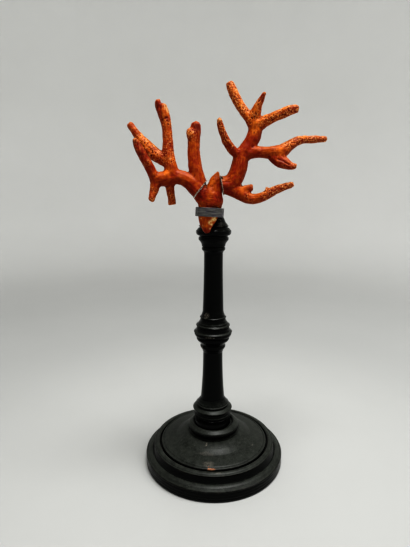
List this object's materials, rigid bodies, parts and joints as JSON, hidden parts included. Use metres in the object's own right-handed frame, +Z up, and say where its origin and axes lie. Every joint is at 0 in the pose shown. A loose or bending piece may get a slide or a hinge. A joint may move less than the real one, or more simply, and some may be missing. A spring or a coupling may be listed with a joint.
{
  "type": "red coral branch on a turned stand",
  "caption": "Branching red coral of three wired pieces, clamped by a metal strip to a turned black wooden stand with a round foot.",
  "frame": {"origin": "middle of the round base's underside, on the surface that it stands on", "axes": "+Z up along the column; the branch spreads along X and sits a little to -Y of the column, which is its front"},
  "size_m": [0.1396, 0.11, 0.2894],
  "materials": {
    "coral": "satin red to orange, pitted and speckled on the outer fingers, smooth on the arms",
    "strip": "dull dark grey, scuffed",
    "wire": "tarnished bright",
    "stand": "ebonised, satin, worn at a few edges"
  },
  "bodies": {
    "root": {"coral_stem": "coral", "coral_left_arm": "coral", "coral_left_inner_finger": "coral", "coral_left_tall_finger": "coral", "coral_left_upper_finger": "coral", "coral_left_outer_finger": "coral", "coral_left_end_stub": "coral", "coral_left_middle_stub": "coral", "coral_right_trunk": "coral", "coral_right_thin_finger": "coral", "coral_crown_left_finger": "coral", "coral_crown_spike": "coral", "coral_crown_right_finger": "coral", "coral_right_middle_arm": "coral", "coral_right_hook": "coral", "coral_right_lower_arm": "coral", "clamp_band": "strip", "wire_left": "wire", "wire_right": "wire", "stand_column": "stand", "stand_base": "stand"}
  },
  "joints": []
}
